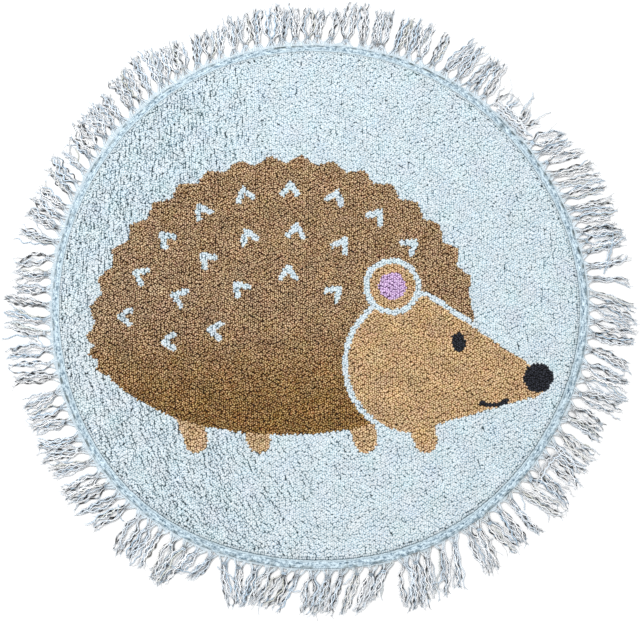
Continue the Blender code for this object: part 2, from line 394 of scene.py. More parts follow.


# Cut cotton pile: matt fuzzy ends, with shade painted in where the light can't reach down between them
def pileMaterial(name, deep, side, tip, clumps):
    constants = {"Roughness": 0.92, "Specular IOR Level": 0.15, "Sheen Weight": 0.06, "Sheen Roughness": 0.5}
    material, tree, shader = newMaterial(name, constants)
    place = addNode(tree, "TexCoord", {}, "Object")
    rise, tone, hue, rich, beside, opened = (
        addNode(tree, "Attribute", {}, "Fac", attribute_name=key)
        for key in ("rise", "tone", "hue", "rich", "beside", "opened")
    )
    # Fibre ends are 0.02 mm, far too fine to show, so this is their clumps of about 1.5 mm
    fibre = addNode(tree, "TexNoise", {"Vector": place, "Scale": 520.0, "Detail": 5.0, "Roughness": 0.66})
    rough = addNode(tree, "Math", {0: fibre, 1: clumps, 2: -0.5 * clumps}, operation="MULTIPLY_ADD")
    # A parting's line of painted shade, as dark as the parting is open there, pulls the shade ramp down
    away = addNode(tree, "Math", {0: beside}, operation="ABSOLUTE")
    full, faded = pile["lineWidths"]
    line = addNode(tree, "MapRange", {"Value": away, "From Min": faded, "From Max": full})
    dark = addNode(tree, "Math", {0: line, 1: opened}, operation="MULTIPLY")
    rise = addNode(tree, "Math", {0: dark, 1: -1.05, 2: rise}, operation="MULTIPLY_ADD")
    depth = addNode(tree, "Math", {0: rise, 1: rough}, operation="ADD", use_clamp=True)
    # Painted shade: the deep colour low between the tufts, the side colour on their flanks, the tip colour at
    # the cut tips
    lower = addNode(tree, "MapRange", {"Value": depth, "From Min": 0.10, "From Max": 0.46})
    upper = addNode(tree, "MapRange", {"Value": depth, "From Min": 0.44, "From Max": 0.95})
    shade = addNode(tree, "Mix", {0: lower, 6: linear(deep), 7: linear(side)}, 2, data_type="RGBA")
    shade = addNode(tree, "Mix", {0: upper, 6: shade, 7: linear(tip)}, 2, data_type="RGBA")
    shade = addNode(tree, "HueSaturation", {"Hue": hue, "Saturation": rich, "Value": tone, "Color": shade})
    bump = addNode(tree, "Bump", {"Height": fibre, "Strength": 0.7, "Distance": 0.0009})
    fillInputs(shader, {"Base Color": shade, "Normal": bump})
    return material


# Partings: short lines that lean with the rows. Each is open by one less the square of the share of its
# length, and pushes the tufts beside it away. Returns the new x, and for each tuft how far it stands
# beside the line of its parting, how that line leans, and how far it is open there
def partRows(x, y, draw):
    p = pile
    middleX, middleY, chance = draw.uniform(size=(3, p["partings"]))
    middleX, middleY = (2.0 * p["partingField"] * each - p["partingField"] for each in (middleX, middleY))
    fadeStart, fadeEnd, fadeShare = p["partingFade"]
    kept = chance < 1.0 - fadeShare * smoothRise(middleX + 0.15 * middleY, fadeStart, fadeEnd)
    middleX, middleY = middleX[kept], middleY[kept]
    count = len(middleX)
    halfLength = draw.uniform(*p["partingHalfLength"], count)
    onPale = pictureAt(middleX, middleY) == pale
    strength = draw.uniform(*p["partingStrength"], count) * np.where(onPale, 1.0, p["partingInDyed"])
    lean = 2.0 * p["partingLean"] * np.minimum(middleY, 0.0) + draw.normal(0.0, 0.08, count)
    order = np.argsort(y)
    first, last = np.searchsorted(y[order], [middleY - halfLength, middleY + halfLength])
    beside, tilt, opened = np.full(len(x), p["partingReach"]), np.zeros(len(x)), np.zeros(len(x))
    for k in range(count):
        tufts = order[first[k]:last[k]]
        along = y[tufts] - middleY[k]
        away = x[tufts] - middleX[k] - lean[k] * along
        nearest = np.abs(away) < np.abs(beside[tufts])
        tufts = tufts[nearest]
        beside[tufts], tilt[tufts] = away[nearest], lean[k]
        opened[tufts] = strength[k] * (1.0 - (along[nearest] / halfLength[k]) ** 2)
    shift = np.sign(beside) * p["partingPush"] * opened
    return x + shift, beside + shift, tilt, opened


# Tuft places: rows of stitches with every second row half a stitch on, each tuft nudged at random, and
# opened along partings; then one close row of tufts round the edge. Returns the places, and how each
# stands to its parting
def tuftPlaces(draw):
    rowSpacing, tuftSpacing = pile["rowSpacing"], pile["tuftSpacing"]
    acrossRows, alongRows = pile["nudge"]
    columns, rows = int(2.1 * pileEdge / rowSpacing), int(2.1 * pileEdge / tuftSpacing)
    column, row = np.meshgrid(np.arange(columns) - columns // 2, np.arange(rows) - rows // 2, indexing="ij")
    x = column * rowSpacing + draw.uniform(-acrossRows, acrossRows, column.shape) * rowSpacing
    y = (row + 0.5 * (column % 2)) * tuftSpacing
    y = y + draw.uniform(-alongRows, alongRows, column.shape) * tuftSpacing
    x, y = x.ravel(), y.ravel()
    x, *parting = partRows(x, y, draw)
    edge = pileEdge - pile["borderIn"]
    inside = np.hypot(x, y) / rimScale(np.arctan2(y, x)) < edge - pile["borderRoom"] * tuftSpacing
    count = int(math.tau * edge / (pile["borderSpacing"] * tuftSpacing))
    nudge = draw.uniform(-pile["borderNudge"], pile["borderNudge"], count)
    angle = (np.arange(count) + nudge) * math.tau / count
    border = placed(edge + draw.uniform(*pile["borderWander"], count), angle, 0.0)
    closed = (pile["partingReach"], 0.0, 0.0)
    parting = [np.concatenate([each[inside], np.full(count, plain)]) for each, plain in zip(parting, closed)]
    x, y = (np.concatenate([each[inside], border[:, axis]]) for axis, each in enumerate((x, y)))
    return x, y, parting


# How far in from the tape a place is
def inFromTape(x, y):
    return pileEdge - np.hypot(x, y) / rimScale(np.arctan2(y, x))


# Height of the pile's top: flat with a slow swell, and an elliptical shoulder down to the tape
def pileTop(x, y):
    share = 1.0 - np.clip(inFromTape(x, y) / pile["shoulder"], 0.0, 1.0)
    top = pile["edgeTop"] + (pile["top"] - pile["edgeTop"]) * np.sqrt(1.0 - share ** 2)
    pace = math.tau / pile["swellLength"]
    return top + pile["swell"] * np.sin(pace * x) * np.sin(pace * y)


# One tuft is a five-sided ring drawn out along its own heading, with a tip above that leans a little and
# a foot below
def tuftPoints(x, y, top, draw):
    count = len(x)
    bearing = draw.uniform(0.0, math.pi, count)[:, None]
    halfLength = pile["halfLength"] * draw.uniform(*pile["sizes"], count)
    halfWidth = pile["halfWidth"] * draw.uniform(*pile["sizes"], count)
    turn = fullTurn(5)
    ringLong = halfLength[:, None] * np.cos(turn) * draw.uniform(*pile["ringSizes"], (count, 5))
    ringWide = halfWidth[:, None] * np.sin(turn) * draw.uniform(*pile["ringSizes"], (count, 5))
    ringHigh = top[:, None] - pile["crown"] * draw.uniform(*pile["crownDepths"], (count, 5))
    leanX, leanY = draw.normal(0.0, pile["tipLean"], (2, count, 1))
    lean = np.array([0.3] * 5 + [1.0, 0.0])
    along = np.concatenate([ringLong, np.zeros((count, 2))], axis=1)
    aside = np.concatenate([ringWide, np.zeros((count, 2))], axis=1)
    high = np.concatenate([ringHigh, top[:, None], np.full((count, 1), pile["foot"])], axis=1)
    pointX = x[:, None] + along * np.cos(bearing) - aside * np.sin(bearing) + leanX * lean
    pointY = y[:, None] + along * np.sin(bearing) + aside * np.cos(bearing) + leanY * lean
    return np.stack([pointX, pointY, high], axis=-1)


# The ring's sides join up to the tip, point 5, and down to the foot, point 6
tuftRing = np.arange(5)
tuftSlopes = np.stack([tuftRing, (tuftRing + 1) % 5, np.full(5, 5)], axis=-1)
tuftUnders = np.stack([(tuftRing + 1) % 5, tuftRing, np.full(5, 6)], axis=-1)


# Faces of many copies of one small shape
def repeatedFaces(faces, copies, pointsEach):
    return (faces[None] + pointsEach * np.arange(copies)[:, None, None]).reshape(-1, faces.shape[1])


# Tufts of one colour joined in one piece, with their plan as the map: the hidden undersides take a thin
# strip of it
def pilePiece(name, points, values, material):
    count = len(points)
    faces = [repeatedFaces(part, count, 7) for part in (tuftUnders, tuftSlopes)]
    flat = points.reshape(-1, 3)
    plan = (flat[:, :2] - flat[:, :2].min(axis=0)) / np.ptp(flat[:, :2], axis=0)
    under = plan * np.array([0.01, 1.0]) + np.array([0.985, 0.0])
    over = plan * np.array([0.97, 1.0])
    places = np.concatenate([under[faces[0].ravel()], over[faces[1].ravel()]])
    values = {key: np.broadcast_to(value, (count, 7)) for key, value in values.items()}
    return newPiece(name, flat, faces, material, values, {"OFBake": places})


# Every tuft's place, yarn, height and shades: its top is the pile's less its share of a parting's depth, and
# its tone, hue and richness are plain values plus slow drifts plus a little chance
def makePile():
    draw = np.random.default_rng(pile["seed"])
    x, y, (beside, tilt, opened) = tuftPlaces(draw)
    colour = pictureAt(x, y)
    sunk = opened * (1.0 - np.abs(beside) / pile["partingReach"])
    top = pileTop(x, y) - pile["partingDepth"] * sunk + draw.normal(0.0, pile["topWander"], len(x))
    points = tuftPoints(x, y, top, draw)
    offset = points[..., :2] - np.stack([x, y], axis=-1)[:, None]
    beside = beside[:, None] + offset[..., 0] - tilt[:, None] * offset[..., 1]
    # Painted shade on the tufts next to the tape, in their tone and in the gaps between them
    shaded = 1.0 - smoothRise(inFromTape(x, y), 0.0008, pile["edgeShade"])
    onPale = colour == pale
    uneven = np.where(onPale, 1.0, pile["dyedUneven"])
    mottle = sum(strength * driftField(x, y, *wave) for strength, *wave in pile["mottle"])
    fadeDown, darker, richer = pile["deeper"]
    deeper = (colour == brown) * smoothRise(-y, 0.0, fadeDown)
    plain = np.choose(colour, [row[1] for row in pileYarns.values()]) - darker * deeper
    tone = plain + mottle * np.where(onPale, 1.0, pile["dyedMottle"]) - 0.14 * shaded
    tone = tone + uneven * draw.normal(0.0, pile["tuftTone"], len(x))
    hue = 0.5 + np.where(onPale, 0.008, 0.003) * driftField(x, y, 0.060, 23)
    hue = hue + uneven * draw.normal(0.0, pile["tuftHue"], len(x))
    rich = 0.96 + np.where(onPale, 0.10, 0.03) * driftField(x, y, 0.050, 24)
    rich = rich + 0.08 * smoothRise(x + y, -0.5, 0.1)
    greyX, greyY, greySpread, grey = pile["greyed"]
    rich = rich + richer * deeper - grey * onPale * bell(np.hypot(x - greyX, y - greyY), 0.0, greySpread)
    # foot sets the painted shade in the gaps: lighter in pale pile and a little more so towards the right,
    # darker in dyed pile and next to the tape
    foot = np.where(onPale, pile["paleFoot"] + 0.03 * smoothRise(x, -0.30, 0.0), pile["dyedFoot"])
    foot = foot - 0.20 * shaded
    level = np.array([0.0] * 5 + [1.0, 0.0])
    rise = foot[:, None] * (1.0 - level) + level
    fibres = {key: pileMaterial(name, *colours) for key, (name, _, *colours) in pileYarns.items()}
    values = {"rise": rise, "beside": beside, "opened": opened, "tone": tone, "hue": hue, "rich": rich}
    made = []
    for name, key, low, high in pileParts:
        chosen = (colour == key) & (y > low) & (y <= high)
        ownValues = {label: each[chosen].reshape(chosen.sum(), -1) for label, each in values.items()}
        made.append(pilePiece(name, points[chosen], ownValues, fibres[key]))
    return made


tape = {
    "bottom": 0.0041,
    "thickness": 0.0014,
    "around": 960,
    # shares of the width from the inner edge, over the top and back along the underside
    "overTop": (0.00, 0.04, 0.12, 0.18, 0.215, 0.25, 0.29, 0.34, 0.45, 0.62, 0.80, 0.90, 0.96, 1.00),
    "underneath": (0.93, 0.50, 0.07),
    "fold": 0.24,  # the folded inner edge's share of the width, up to its seam
    "foldRise": 0.0006,
    "seamDepth": 0.0003,
    "rib": 0.0022,  # ribs are 0.8 mm, drawn coarser so that they show
    "stitchPitch": 0.0046,
    "stitchLength": 0.0034,
    "stitchRadius": 0.00030,
    "stitchRise": 0.00028,
    "stitchSink": 0.0001,
    "stitchWander": 0.00012,
    "stitchSlant": 0.0002,
    "stitchRows": (0.0052, 0.0124),  # in from the outer edge
    # it is sewn on unevenly: mean offset of its outer edge, how much that varies, where it reaches furthest
    "uneven": (-0.0009, 0.0016, 310.0),
    "seed": 11,
    "darkArcs": ((2.0, 45.0), (55.0, 75.0), (94.0, 101.0), (187.0, 215.0)),  # where the painted shadow under the outer edge is darkest
    "arcFade": 2.0,  # degrees either side of an arc's ends in which it fades
    "weakEdgeShadow": 0.62,  # how dark that painted shadow is elsewhere
    # strengths of painted shade and shadow: under the outer edge, in the sunk seam, along the inner edge
    # against the pile, and on the underside
    "outerEdgeShadow": 0.85,
    "seamShade": 0.20,
    "innerEdgeShade": 0.40,
    "undersideShade": 0.8,
    # darker marks along the tape: angle, half-spread in degrees, strength
    "marks": (
        (43.5, 0.7, 0.55),
        (202.0, 9.0, 0.13),
        (252.0, 13.0, 0.07),
        (340.0, 12.0, 0.10),
        (160.8, 0.25, 0.5),
        (245.0, 0.8, 0.25),
        (260.5, 0.9, 0.25),
        (276.3, 0.12, 0.7),
        (338.0, 0.3, 0.35),
        (341.5, 0.3, 0.35),
    ),
}


# Height the tape flutters by at an angle, most at its outer edge
def tapeFlutter(angle, across):
    lift = 0.00030 * rimDrift(angle, 0.030, 31) + 0.00025 * rimDrift(angle, 0.120, 32) + 0.00025
    return lift * (0.15 + 0.85 * across ** 2)


# How far the tape's outer edge stands off the rim at an angle
def tapeOffset(angle):
    mean, swing, furthest = tape["uneven"]
    return mean + swing * np.cos(angle - math.radians(furthest)) + 0.0007 * rimDrift(angle, 0.060, 33)


# Ribbed cotton tape: pale blue and matt, with close ribs across it, streaks along it where the warp has worn,
# a folded edge painted lighter as a highlight, and darker places that are partly painted shade and shadow,
# partly soil and wear
def tapeMaterial():
    constants = {"Roughness": 0.85, "Specular IOR Level": 0.2, "Sheen Weight": 0.08}
    material, tree, shader = newMaterial("ribbedCottonTape", constants)
    run = addNode(tree, "UVMap", {}, uv_map="tapeRun")
    along, across, _ = addNode(tree, "SeparateXYZ", {0: run}).node.outputs
    edge, shadeAndSoil = (addNode(tree, "Attribute", {}, "Fac", attribute_name=key) for key in ("edge", "shadeAndSoil"))
    place = addNode(tree, "TexCoord", {}, "Object")
    patchy = addNode(tree, "TexNoise", {"Vector": place, "Scale": 230.0, "Detail": 4.0, "Roughness": 0.7})
    drawnOut = addNode(tree, "Mapping", {"Vector": run, "Scale": (0.24, 1.0, 1.0)})
    streak = addNode(tree, "TexNoise", {"Vector": drawnOut, "Scale": 380.0, "Detail": 3.0, "Roughness": 0.6})
    pace = math.tau / tape["rib"]
    turns = addNode(tree, "Math", {0: along, 1: pace}, operation="MULTIPLY")
    skew = addNode(tree, "Math", {0: across, 1: pace * 0.9, 2: turns}, operation="MULTIPLY_ADD")
    rib = addNode(tree, "Math", {0: skew}, operation="SINE")
    worn = addNode(tree, "Math", {0: patchy, 1: streak}, operation="ADD")
    grain = addNode(tree, "Math", {0: rib, 1: 0.10, 2: worn}, operation="MULTIPLY_ADD")
    weave = addNode(tree, "MapRange", {"Value": grain, "From Min": 0.84, "From Max": 1.13})
    dash = addNode(tree, "MapRange", {"Value": streak, "From Min": 0.42, "From Max": 0.34, "To Max": 0.40})
    shadeAndSoil = addNode(tree, "Math", {0: shadeAndSoil, 1: dash}, operation="MAXIMUM")
    # The folded edge is painted lighter, as a highlight
    half = addNode(tree, "Math", {0: edge, 1: 0.6}, operation="MULTIPLY")
    colour = linear("#557286")
    # Lightened by the weave and the folded edge, then darkened towards grey green by painted shade and shadow
    # and by soil
    for share, over in ((weave, "#def1fb"), (half, "#d3e5ee"), (shadeAndSoil, "#414b48")):
        colour = addNode(tree, "Mix", {0: share, 6: colour, 7: linear(over)}, 2, data_type="RGBA")
    bump = addNode(tree, "Bump", {"Height": grain, "Strength": 0.6, "Distance": 0.0006})
    fillInputs(shader, {"Base Color": colour, "Normal": bump})
    return material


# The tape's section is a flat oval: its inner edge is folded over and stands a little proud as far as a
# sunk seam, and its outer edge flutters
def makeTape():
    width, around = rim["tapeWidth"], tape["around"]
    share = np.array(tape["overTop"] + tape["underneath"])[None, :]
    across = share.shape[1]
    onTop = np.arange(across)[None, :] < len(tape["overTop"])
    angle = fullTurn(around)[:, None]
    rounding = np.clip(1.0 - np.abs(2.0 * share - 1.0) ** 14, 0.0, 1.0) ** 0.5
    fold = (1.0 - smoothRise(share, tape["fold"] - 0.03, tape["fold"])) * rounding
    seam = bell(share, tape["fold"] + 0.012, 0.065)
    radius = rim["radius"] - width * (1.0 - share) + tapeOffset(angle) * share
    height = tape["bottom"] + tape["thickness"] / 2.0 * (1.0 + np.where(onTop, 1.0, -1.0) * rounding)
    height = height + onTop * (tape["foldRise"] * fold - tape["seamDepth"] * seam) + tapeFlutter(angle, share)
    points = placed(radius, angle, height).reshape(-1, 3)
    faces = turnedFaces(around, across)
    # edge: the raised folded edge, which the material paints lighter as a highlight
    edge = np.broadcast_to(fold * onTop, (around, across))
    # Painted shade in the sunk seam and along the inner edge against the pile, in patches
    pressed = smoothRise(rimDrift(angle, 0.026, 35), -0.9, 0.9)
    shadeAndSoil = tape["seamShade"] * seam + tape["innerEdgeShade"] * (1.0 - smoothRise(share, 0.03, 0.12))
    shadeAndSoil = shadeAndSoil * pressed * onTop
    # Painted shadow under the outer edge where it lifts, strongest along the dark arcs; the underside is all
    # painted in shade
    lifted = smoothRise(rimDrift(angle, 0.020, 34), -0.2, 0.6)
    strength = np.full(lifted.shape, tape["weakEdgeShadow"])
    degrees, fade = np.degrees(angle), tape["arcFade"]
    for first, last in tape["darkArcs"]:
        begun = smoothRise(degrees, first - fade, first + fade)
        over = smoothRise(degrees, last - fade, last + fade)
        strength = np.maximum(strength, begun * (1.0 - over))
    outerShadow = tape["outerEdgeShadow"] * smoothRise(share, 0.66, 0.84) * strength * (0.12 + 0.88 * lifted)
    shadeAndSoil = np.where(onTop, np.maximum(shadeAndSoil, outerShadow), tape["undersideShade"])
    for at, spread, strength in tape["marks"]:
        away = (degrees - at + 180.0) % 360.0 - 180.0
        shadeAndSoil = np.maximum(shadeAndSoil, strength * bell(away, 0.0, spread) * (share > 0.1))
    # Map: metres along the tape, and metres across its section
    i, j = np.divmod(faces, across)
    runI = i[:, :1] + (i - i[:, :1]) % around
    runJ = j[:, :1] + (j - j[:, :1]) % across
    run = np.stack([runI * (math.tau * rim["radius"] / around), runJ * (2.0 * width / across)], axis=-1)
    # The ring's long thin map is cut in eight strips, one above the other
    strips = 8
    strip = np.floor(i[:, :1] * strips / around)
    bake = np.stack([runI * strips / around - strip, (strip + 0.02 + 0.94 * runJ / across) / strips], axis=-1)
    values = {"edge": edge, "shadeAndSoil": shadeAndSoil}
    maps = {"tapeRun": run, "OFBake": bake}
    return newPiece("edge_tape_cloth", points, [faces], tapeMaterial(), values, maps)


# Corners of many tubes: rings of points joined by four-sided faces, and a cone of triangles to each end
# point
def tubeFaces(count, sections, sides):
    each = sections * sides + 2
    i, j = np.meshgrid(np.arange(sections - 1), np.arange(sides), indexing="ij")
    nextJ, near, far = (j + 1) % sides, i * sides, (i + 1) * sides
    walls = np.stack([near + j, near + nextJ, far + nextJ, far + j], axis=-1)
    k = np.arange(sides)
    last = (sections - 1) * sides
    startCone = np.stack([np.full(sides, each - 2), (k + 1) % sides, k], axis=-1)
    endCone = np.stack([np.full(sides, each - 1), last + k, last + (k + 1) % sides], axis=-1)
    cones = np.concatenate([startCone, endCone])
    return repeatedFaces(walls.reshape(-1, 4), count, each), repeatedFaces(cones, count, each)


# Where the corners of a strand's section stand, the first one at the bottom
def strandTurns(sides):
    return math.tau * np.arange(sides) / sides - math.pi / 2.0


# An arrow's own length taken out of it
def unitLong(arrows):
    return arrows / (np.linalg.norm(arrows, axis=-1, keepdims=True) + 1e-12)


# A round section carried along each path: the path's point, plus its sideways arrow times the cosine and
# its upward arrow times the sine of the turn, by the radius there. paths is (count, sections, 3), radii
# (count, sections)
def tubePoints(paths, radii, sides, capLength):
    tangent = unitLong(np.gradient(paths, axis=1))
    sideways = unitLong(np.cross(np.array([0.0, 0.0, 1.0]), tangent))
    upward = np.cross(tangent, sideways)
    turn = strandTurns(sides)
    ring = sideways[:, :, None] * np.cos(turn)[:, None] + upward[:, :, None] * np.sin(turn)[:, None]
    rings = paths[:, :, None] + ring * radii[:, :, None, None]
    start = paths[:, 0] - tangent[:, 0] * capLength
    end = paths[:, -1] + tangent[:, -1] * capLength
    return np.concatenate([rings.reshape(len(paths), -1, 3), start[:, None], end[:, None]], axis=1)


# Joined tubes as one piece. The map twistRun is turns round the strand by metres along it, each strand
# starting 2.87 mm on from the last one, and OFBake packs the strands side by side in a few shelves
def strandPiece(name, paths, radii, sides, material, values, shelves=8):
    count, sections = paths.shape[:2]
    radii = np.broadcast_to(radii, (count, sections))
    points = tubePoints(paths, radii, sides, 0.4 * float(radii.min()))
    walls, cones = tubeFaces(count, sections, sides)
    each = points.shape[1]
    steps = np.linalg.norm(np.diff(paths, axis=1), axis=2)
    length = np.concatenate([np.zeros((count, 1)), np.cumsum(steps, axis=1)], axis=1)
    strand, corner = np.divmod(walls, each)
    section, around = np.divmod(corner, sides)
    aroundRun = around[:, :1] + (around - around[:, :1]) % sides
    coneStrand, coneCorner = np.divmod(cones, each)
    atEnd = coneCorner[:, :1] == each - 1
    coneAround = np.where(coneCorner < sections * sides, coneCorner % sides, 0)
    coneAround[:, 0] = coneAround[:, 1]
    coneAlong = np.where(atEnd, length[coneStrand, -1], 0.0)
    coneAlong[:, 0] += np.where(atEnd[:, 0], 0.0005, -0.0005)
    turns = np.concatenate([(aroundRun / sides).ravel(), (coneAround / sides).ravel()])
    along = np.concatenate([length[strand, section].ravel(), coneAlong.ravel()])
    owner = np.concatenate([strand.ravel(), coneStrand.ravel()])
    columns = math.ceil(count / shelves)
    longest = float(length.max()) + 0.002
    bakeU = (owner % columns + 0.1 + 0.8 * np.minimum(turns, 1.0)) / columns
    bakeV = (owner // columns + 0.02 + 0.96 * (along + 0.0006) / longest) / shelves
    maps = {
        "twistRun": np.stack([turns, along + 0.00287 * owner], axis=-1),
        "OFBake": np.stack([bakeU, bakeV], axis=-1),
    }
    # crest: 1 on the top of each strand, 0 at its sides and underneath; the material paints light on it and
    # shade below it
    crest = np.tile(np.clip(1.25 * np.sin(strandTurns(sides)), 0.0, 1.0), (count, sections))
    spread = {"crest": np.concatenate([crest, np.full((count, 2), 0.5)], axis=1)}
    for key, value in {"tone": 1.0, "root": 0.0, "tint": 0.0, "warm": 0.0, **values}.items():
        rings = np.repeat(np.broadcast_to(value, (count, sections)), sides, axis=1)
        spread[key] = np.concatenate([rings, rings[:, :1], rings[:, -1:]], axis=1)
    return newPiece(name, points.reshape(-1, 3), [walls, cones], material, spread, maps)


# Spun and plied cotton: soft diagonal turns of the plies, with shade painted where one ply dips under the
# next and on each strand's sides below its lit crest
def plyMaterial(name, light, cool, dark, rootColour, pitch, contrast):
    constants = {"Roughness": 0.9, "Specular IOR Level": 0.2, "Sheen Weight": 0.15, "Sheen Roughness": 0.4}
    material, tree, shader = newMaterial(name, constants)
    run = addNode(tree, "UVMap", {}, uv_map="twistRun")
    around, length, _ = addNode(tree, "SeparateXYZ", {0: run}).node.outputs
    along = addNode(tree, "Math", {0: length, 1: math.tau / pitch}, operation="MULTIPLY")
    phase = addNode(tree, "Math", {0: around, 1: 2.0 * math.tau, 2: along}, operation="MULTIPLY_ADD")
    ply = addNode(tree, "Math", {0: phase}, operation="SINE")
    tone, root, crest, tint, warm = (
        addNode(tree, "Attribute", {}, "Fac", attribute_name=key)
        for key in ("tone", "root", "crest", "tint", "warm")
    )
    place = addNode(tree, "TexCoord", {}, "Object")
    fuzz = addNode(tree, "TexNoise", {"Vector": place, "Scale": 420.0, "Detail": 3.0, "Roughness": 0.65})
    mixed = addNode(tree, "Math", {0: ply, 1: contrast, 2: fuzz}, operation="MULTIPLY_ADD")
    # Painted light on the crest of each strand and painted shade down its sides and in the ply grooves
    lit = addNode(tree, "Math", {0: crest, 1: 0.45, 2: mixed}, operation="MULTIPLY_ADD")
    share = addNode(tree, "MapRange", {"Value": lit, "From Min": 0.15, "From Max": 0.53})
    body = addNode(tree, "Mix", {0: tint, 6: linear(light), 7: linear(cool)}, 2, data_type="RGBA")
    body = addNode(tree, "Mix", {0: warm, 6: body, 7: linear("#dcdccc")}, 2, data_type="RGBA")
    body = addNode(tree, "Mix", {0: share, 6: linear(dark), 7: body}, 2, data_type="RGBA")
    body = addNode(tree, "Mix", {0: root, 6: body, 7: linear(rootColour)}, 2, data_type="RGBA")
    shade = addNode(tree, "HueSaturation", {"Hue": 0.5, "Saturation": 1.0, "Value": tone, "Color": body})
    bump = addNode(tree, "Bump", {"Height": mixed, "Strength": 0.5, "Distance": 0.0006})
    fillInputs(shader, {"Base Color": shade, "Normal": bump})
    return material


# Lock stitches along the tape: short low arcs, dipping in at both ends
def makeTapeStitches():
    draw = np.random.default_rng(tape["seed"])
    count = int(math.tau * rim["radius"] / tape["stitchPitch"])
    share = np.linspace(0.0, 1.0, 4)
    arc = tape["stitchLength"] * (share - 0.5) / rim["radius"]
    angle = fullTurn(count)[:, None] + arc[None, :]
    rows = []
    for inward in tape["stitchRows"]:
        across = 1.0 - inward / rim["tapeWidth"]
        radius = rim["radius"] - inward + draw.normal(0.0, tape["stitchWander"], (count, 1))
        radius = radius + tape["stitchSlant"] * (share - 0.5) + tapeOffset(angle) * across
        top = tape["bottom"] + tape["thickness"] + tapeFlutter(angle, across) - tape["stitchSink"]
        rows.append(placed(radius, angle, top + tape["stitchRise"] * np.sin(math.pi * share)))
    thread = plyMaterial("cottonSewingThread", "#dbe9f1", "#c9dcea", "#93a7b5", "#ffffff", 0.0012, 0.1)
    return strandPiece("tape_stitches", np.concatenate(rows), tape["stitchRadius"], 4, thread, {})


fringe = {
    "yarns": 10,  # in a full tassel
    "sections": 28,
    "sides": 4,
    "hidden": 0.009,  # how far each yarn runs in under the tape
    "knotOut": 0.0150,
    "rootHalf": 0.0116,
    "waistHalf": 0.0054,
    "bodyHalf": 0.0078,
    "tipHalf": 0.0088,
    "yarnRadius": 0.00112,
    "plyPitch": 0.0058,
    "sway": 0.0030,
    "swayTurn": 137.5,
    "crimp": (0.015, 0.030),  # wavelengths of the yarns' short waves
    "slowWave": (0.060, 0.0026),  # wavelength and height of their long ones
    "strays": (0.24, 0.0075),  # share of yarns that stray out of their tassel, and how far
    "opening": (-0.0040, 0.0062),  # tassels bow open by up to this much, or stay shut below nought
    "messy": (146.0, 22.0, 0.9),  # the yarns are most tangled round this angle: where, spread, how much more
    "yarnLengths": (0.82, 1.05),  # in shares of the tassel's reach
    "yarnThickness": (0.85, 1.15),
    "layerRise": 0.0019,  # the upper layer over the lower
    "rootHeight": 0.0030,
    "knotHeight": (0.0032, 0.0009),  # and how much it varies
    "ripple": (0.023, 0.0005),  # wavelength and height of the yarns' waves off the floor
    # tones of the upper yarns, painted bright, and of the lower ones, painted in shade
    "upperTone": (1.16, 0.05),
    "lowerTones": (0.0, 0.20),
    "dashes": (0.010, 0.020),  # wavelengths of the dashes in which light reaches the lower yarns
    "tint": (0.20, 0.34),
    "warm": (0.3, 0.9),
    "warmShare": 0.07,  # of the yarns are a warmer white
    "stained": (240.0, 345.0),  # angles between which some roots have a stain
    "seed": 5,
}

